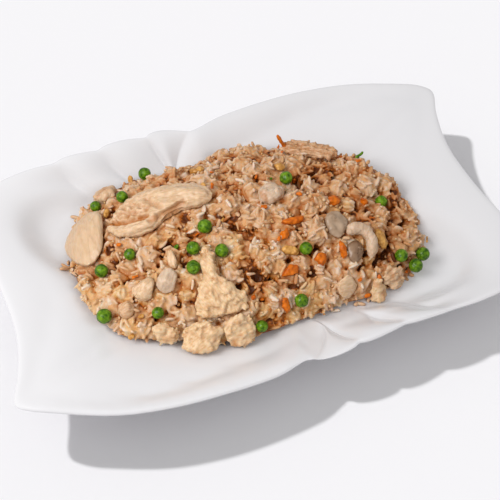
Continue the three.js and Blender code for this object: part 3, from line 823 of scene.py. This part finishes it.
bits_laid = [
    strewn_bits("carrot_bits", CARROT_BITS, spindle(4, 4, 0, 0.3), carrot, "carrot"),
    strewn_bits("egg_bits", EGG_BITS, spindle(5, 4, 0.05, 0.4), egg, "egg"),
    strewn_bits("green_bits", GREEN_BITS, spindle(5, 4, 0, 0.5), skin, "pea"),
]

# Rice grains
# Long cooked grains, most whole and some broken, stuck together in the clumps, where they run
# much the same way. Each is a small bent spindle. Egg coats the grains of some clumps.
# Grains tried, height over the clumps in millimetres, tilt in degrees, lowest crest they lie on
LAYERS = [(9000, -0.2, 8, -2), (8000, 0.7, 15, -1.2), (5000, 1.4, 25, -0.5), (400, 2.0, 45, 0.0)]
BED_TOP = 1.9
GRAINS_APART = 1.7 * MM
# Points along a grain, as shares of its length, that keep clear of the other grains
GRAIN_SAMPLES = (-0.36, -0.18, 0, 0.18, 0.36)
TOPPING_CLEARANCE = 0.3 * MM
# Where egg makes the rice paler: x, y and radius in millimetres, and how much
PALE_PLACES_MM = [
    (-42, -60, 16, 0.3), (-88, -42, 12, 0.1), (-62, -57, 12, 0.15), (8, 2, 10, 0.15),
    (-20, -62, 12, 0.2), (12, -56, 16, 0.25), (85, 28, 38, -0.18), (-8, -38, 14, -0.3),
    (55, -50, 30, 0.2), (-88, -20, 25, -0.05),
]
# Hollows deeper than this show no grain in the middle part of their width
BARE_HOLLOW_MM = 5
BARE_PART = 4
STUCK_VOXEL = 0.7 * MM
STUCK_SMOOTHING = 1
SEAM_OVERLAP = 3 * MM
UNDER_KEPT = 0.72
UNDER_FACING = -0.3
CLINGING_GRAINS = 34
CLINGING_HEIGHTS = (0.3 * MM, 1.6 * MM)
EDGE_TRIES = 6000
EDGE_HEIGHT = 13 * MM
LOOSE_GRAINS = 70
GRAIN_PIECES = 2
CRUMBS = 700
LAID_KINDS = ("breast_", "carrot_dice_", "fried_egg_", "soft_onion_")
BARE_KINDS = ("slab", "strip", "flake_back", "curl", "egg")
platter_tree = tree_of([china])
laid_on = [item for item in bpy.data.objects if item.name.startswith(LAID_KINDS)]
peas_laid = [item for item in bpy.data.objects if item.name.startswith("green_pea_")]
peas_laid = [item for item in peas_laid if item.name[6:] not in SUNK_PEAS_MM]
bare = [item for item in laid_on if any(kind in item.name for kind in BARE_KINDS)]
toppings_tree = tree_of(bare + peas_laid + bits_laid)


def clear_of_toppings(point):
    place, normal, _, distance = toppings_tree.find_nearest(Vector(point), 8 * MM)
    if place is None:
        return True
    return distance > TOPPING_CLEARANCE and (Vector(point) - place).dot(normal) > 0


def in_hollow(point):
    for x, y, radius, depth in HOLLOWS_MM:
        away = (point[0] / MM - x) ** 2 + (point[1] / MM - y) ** 2
        if depth > BARE_HOLLOW_MM and away < (radius / BARE_PART) ** 2:
            return True
    return False


def noise_at(points, size):
    return np.array([noise.noise(Vector(point) / size) for point in points])


taken = {}
BESIDE = [(a, b, c) for a in (-1, 0, 1) for b in (-1, 0, 1) for c in (-1, 0, 1)]


def cell_of(point):
    return tuple(int(value // GRAINS_APART) for value in point)


def finds_room(samples):
    for x, y, z in samples:
        column, row, level = cell_of((x, y, z))
        for a, b, c in BESIDE:
            for px, py, pz in taken.get((column + a, row + b, level + c), ()):
                if (x - px) ** 2 + (y - py) ** 2 + (z - pz) ** 2 < GRAINS_APART ** 2:
                    return False
    for sample in samples:
        taken.setdefault(cell_of(sample), []).append(tuple(sample))
    return True


clump_leads = dice.normal(size=(len(middles), 3))
clump_tints = dice.normal(0, 0.07, len(middles))
clump_eggs = dice.normal(0, 0.16, len(middles))
# For each grain: place, axes, size, height, crest and clump
laid = []
for count, height, tilt, lowest in LAYERS:
    points, normals, from_vertex = surface_points(core, count)
    crest = crests[from_vertex]
    owner = owners[from_vertex]
    turned = lying_axes(normals, tilt, clump_leads[owner])
    sizes = grain_sizes(count, GRAIN_LENGTH, GRAIN_WIDTH)
    points = points + normals * dice.normal(height, 0.2, count)[:, None] * MM
    for i in range(count):
        if crest[i] < lowest or in_hollow(points[i]):
            continue
        samples = [points[i] + turned[i, :, 0] * step * sizes[i, 0] for step in GRAIN_SAMPLES]
        if all(clear_of_toppings(sample) for sample in samples[::2]) and finds_room(samples):
            laid.append((points[i], turned[i], sizes[i], height, crest[i], owner[i]))

for item in laid_on:
    near_core = []
    for vertex in item.data.vertices:
        place, normal, _, _ = core_tree.find_nearest(vertex.co)
        above = (vertex.co - place).dot(normal)
        if CLINGING_HEIGHTS[0] < above < CLINGING_HEIGHTS[1] and vertex.normal.z > 0.1:
            near_core.append((vertex.co.copy(), vertex.normal.copy()))
    wanted = min(int(len(near_core) / 30), CLINGING_GRAINS) if "carrot" not in item.name else 1
    for i in dice.permutation(len(near_core))[:wanted]:
        place, normal = near_core[i]
        place = np.array(place + normal * 0.7 * MM)
        turned = lying_axes(np.array([normal]), 14)[0]
        size = grain_sizes(1, GRAIN_LENGTH, GRAIN_WIDTH)[0]
        laid.append((place, turned, size, 1.4, 0.3, dice.integers(len(middles))))

points, normals, _ = surface_points(core, EDGE_TRIES)
for i in np.flatnonzero((points[:, 2] < EDGE_HEIGHT) & (normals[:, 2] < 0.8))[:LOOSE_GRAINS]:
    outwards = Vector((*normals[i, :2], 0)).normalized()
    over = Vector(points[i]) + outwards * dice.uniform(0.5, 4) * MM + Vector((0, 0, 0.02))
    place, normal, _, _ = platter_tree.ray_cast(over, DOWNWARDS)
    if place is not None:
        place = np.array(place + normal * 1.1 * MM)
        turned = lying_axes(np.array([normal]), 4)[0]
        size = grain_sizes(1, GRAIN_LENGTH, GRAIN_WIDTH)[0]
        laid.append((place, turned, size, 2, 0.4, 0))
places, axes, sizes, heights, crest_at, owner_at = [np.array(values) for values in zip(*laid)]
count = len(places)


# Tint of the rice: painted light on the crests and on grains lying higher, painted shade in the creases and
# on grains lying lower, tone that differs by clump and at random, darker towards the right and in random
# patches, and paler in most listed places and darker in a few
def tints_at(points, crest, owner, height, spread):
    values = 0.38 + 0.19 * crest + 0.13 * height + clump_tints[owner] + spread
    values = values + 0.15 * noise_at(points, 16 * MM) - 0.0004 * points[:, 0] / MM - 0.03
    values = values - 0.25 * np.clip(noise_at(points, 7 * MM), 0, 1)
    for x, y, radius, paler in PALE_PLACES_MM:
        away = np.hypot(points[:, 0] / MM - x, points[:, 1] / MM - y) / radius
        values = values + paler * np.clip(1 - away * away, 0, 1)
    return np.clip(values, 0, 1)


def eggs_at(points, owner):
    yolky = clump_eggs[owner] - (0.0012 * points[:, 0] + 0.004 * points[:, 1]) / MM - 0.08
    yolky = yolky + 0.1 * noise_at(points, 5 * MM)
    return np.clip((yolky - 0.08) / 0.16, 0, 1)


spreads = dice.normal(0, 0.08, count) + np.where(dice.random(count) < 0.05, 0.35, 0)
# Grains lying higher get painted light and lower ones painted shade
tints = tints_at(places, crest_at, owner_at, 0.4 * heights, spreads)
eggs = eggs_at(places, owner_at)

# Colours of rice brown with soy sauce and of rice coated with egg, from painted shade in gaps and
# creases to the white of random grains and of crests with painted light
PAINTED_SHADE_TONE = (0.10, 0.022, 0.002, 1)
TONES_AT = (0.1, 0.48, 0.8)
RICE_TONES = ((0.36, 0.09, 0.003), (0.55, 0.31, 0.15), (0.61, 0.43, 0.30))
EGG_RICE_TONES = ((0.40, 0.11, 0.003), (0.59, 0.33, 0.13), (0.63, 0.44, 0.26))
WHITE_RICE = (0.68, 0.54, 0.42, 1)
rice, tree, bsdf = new_material("cooked rice", {
    "Roughness": 0.5, "Specular IOR Level": 0.25, "Subsurface Weight": 0.35,
    "Subsurface Radius": (1, 0.5, 0.25), "Subsurface Scale": 2 * MM,
})
mix = tree.nodes.new("ShaderNodeMix")
mix.data_type = "RGBA"
tree.links.new(attribute(tree, "egg")["Fac"], mix.inputs["Factor"])
for socket, tones in (("A", RICE_TONES), ("B", EGG_RICE_TONES)):
    ramp = tree.nodes.new("ShaderNodeValToRGB")
    ramp.color_ramp.elements[0].color = PAINTED_SHADE_TONE
    ramp.color_ramp.elements[1].color = WHITE_RICE
    for place, tone in zip(TONES_AT, tones):
        ramp.color_ramp.elements.new(place).color = (*tone, 1)
    tree.links.new(attribute(tree, "tint")["Fac"], ramp.inputs["Fac"])
    tree.links.new(ramp.outputs["Color"], mix.inputs[socket])
tree.links.new(mix.outputs["Result"], bsdf.inputs["Base Color"])

bed = np.flatnonzero(heights <= BED_TOP)
loose = dice.permutation(np.flatnonzero(heights > BED_TOP))
grains = (places, axes, sizes, tints, eggs)
along_grains = []
for i in bed:
    along_grains += [places[i] + axes[i, :, 0] * step * sizes[i, 0] for step in (-0.3, 0, 0.3)]
grain_tree = point_tree(along_grains)
core_points = points_of(core)
core_vertices = point_tree(core_points)

for side, name in ((-1, "stuck_rice_left"), (1, "stuck_rice_right")):
    mine = bed[places[bed, 0] * side >= 0]
    stuck = scattered_mesh(name, spindle(), *(values[mine] for values in grains))
    half = core.copy()
    half.data = core.data.copy()
    bpy.context.collection.objects.link(half)
    half_points = core_points.copy()
    half_points[:, 0] = side * np.maximum(side * half_points[:, 0], -SEAM_OVERLAP)
    move_points(half, half_points)
    pick(half, stuck)
    bpy.ops.object.join()
    remade(stuck, STUCK_VOXEL, STUCK_SMOOTHING)
    under = stuck.vertex_groups.new(name="under")
    under.add(np.flatnonzero(normals_of(stuck)[:, 2] < UNDER_FACING).tolist(), 1, "REPLACE")
    thinned = {"ratio": UNDER_KEPT, "vertex_group": "under", "vertex_group_factor": 1000}
    apply_modifier(stuck, "DECIMATE", **thinned)
    points = points_of(stuck)
    nearest_grain = [grain_tree.find(point)[1] // 3 for point in points]
    nearest_core = [core_vertices.find(point)[1] for point in points]
    # Painted shade and light: stuck rice is lighter on ridges, darker in dips and much darker in hollows
    ridge = ridge_heights(stuck, 8) + 0.3 * ridge_heights(stuck, 60)
    owner = owners[nearest_core]
    height = 1.8 * ridge - 4 * gaps[nearest_core]
    shades = tints_at(points, crests[nearest_core], owner, height, spreads[bed][nearest_grain])
    mark(stuck, "tint", shades)
    mark(stuck, "egg", eggs_at(points, owner))
    stuck.data.materials.clear()
    finished(stuck, rice, "rice", "fried_rice")

for part in range(GRAIN_PIECES):
    mine = loose[part::GRAIN_PIECES]
    name = f"rice_grains_{part + 1}"
    piece = scattered_mesh(name, spindle(), *(values[mine] for values in grains))
    finished(piece, rice, "rice", "fried_rice")

points, normals, from_vertex = surface_points(core, CRUMBS)
crest = crests[from_vertex]
points = points + normals * dice.normal(0.8, 0.4, CRUMBS)[:, None] * MM
turned = lying_axes(normals, 40)
kept = np.flatnonzero(crest > -0.3)
kept = [i for i in kept if not in_hollow(points[i]) and clear_of_toppings(points[i])]
crumb_sizes = dice.uniform(1.3, 2.9, (CRUMBS, 3)) * MM
# Painted shade in the creases and painted light on the crests
crumb_tints = np.clip(0.5 + 0.2 * crest + dice.normal(0, 0.1, CRUMBS), 0, 1)
crumbs = (points, turned, crumb_sizes, crumb_tints, dice.random(CRUMBS))
piece = scattered_mesh("crumbs", spindle(5, 4, 0, 0.8), *(values[kept] for values in crumbs))
finished(piece, rice, "rice", "fried_rice")

# Floor
# A plain pale sheet of matt paper under the platter's foot.
FLOOR_SIZE = 6
bpy.ops.mesh.primitive_plane_add(size=FLOOR_SIZE, location=(0, 0, 0))
floor = bpy.context.object
floor.name = "floor"
paper, _, _ = new_material("pale floor", {
    "Base Color": (0.9, 0.89, 0.91, 1), "Roughness": 0.9, "Specular IOR Level": 0.1,
})
floor.data.materials.append(paper)
floor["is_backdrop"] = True

# Light
# Even white studio light, a lamp far behind on the left that throws the floor's shadow, two large
# soft lamps for the china, left and front right, and one more for the food.
LAMP_SIZE = 0.45
world = bpy.data.worlds.new("studio")
world.use_nodes = True
world.node_tree.nodes["Background"].inputs["Color"].default_value = (1, 1, 1, 1)
world.node_tree.nodes["Background"].inputs["Strength"].default_value = 0.55
bpy.context.scene.world = world


def add_lamp(name, kind, energy, towards, place=(0, 0, 0)):
    data = bpy.data.lights.new(name, kind)
    data.energy = energy
    lamp = bpy.data.objects.new(name, data)
    lamp.location = place
    lamp.rotation_euler = Vector(towards).to_track_quat("Z", "Y").to_euler()
    bpy.context.collection.objects.link(lamp)
    return lamp


def light_only(lamp, items):
    lit = bpy.data.collections.new("lit by " + lamp.name)
    for item in items:
        lit.objects.link(item)
    lamp.light_linking.receiver_collection = lit


sun = add_lamp("shadow_lamp", "SUN", 2.3, (-20, 22.7, 27))
sun.data.angle = radians(3)
light_only(sun, [floor])

china_lamps = [
    add_lamp("left_china_lamp", "AREA", 4.3, (-0.55, 0.02, 0.62), (-0.55, 0.02, 0.62)),
    add_lamp("right_china_lamp", "AREA", 2.7, (0.5, -0.6, 0.8), (0.5, -0.6, 0.8)),
]
for lamp in china_lamps:
    lamp.data.size = LAMP_SIZE
    lamp.visible_glossy = False
    light_only(lamp, [china])

food_lamp = add_lamp("food_lamp", "AREA", 5.6, (-0.45, -0.16, 0.64), (-0.45, -0.16, 0.66))
food_lamp.data.size = LAMP_SIZE
meshes = [item for item in bpy.context.collection.objects if item.type == "MESH"]
light_only(food_lamp, [item for item in meshes if item not in (floor, china)])
bpy.context.scene.view_settings.view_transform = "Standard"

# Camera
# It looks down on the dish from the front left, as the photograph does.
ELEVATION = radians(52)
TURN = radians(18)
DISTANCE = 0.6967
RIM_LEVEL = 27 * MM
LENS = 78.76
PHOTO_SIZE = 500
camera = bpy.data.objects.new("camera", bpy.data.cameras.new("camera"))
away = Vector((-cos(ELEVATION) * sin(TURN), -cos(ELEVATION) * cos(TURN), sin(ELEVATION)))
camera.location = Vector((0, 0, RIM_LEVEL)) + DISTANCE * away
camera.rotation_euler = (radians(90) - ELEVATION, 0, -TURN)
camera.data.lens = LENS
camera.data.shift_x = 3.4 / PHOTO_SIZE
camera.data.shift_y = -15.6 / PHOTO_SIZE
bpy.context.collection.objects.link(camera)
bpy.context.scene.camera = camera

sizes = {"cad": [list(corner) for corner in cad_box], "visual": [list(corner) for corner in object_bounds()]}
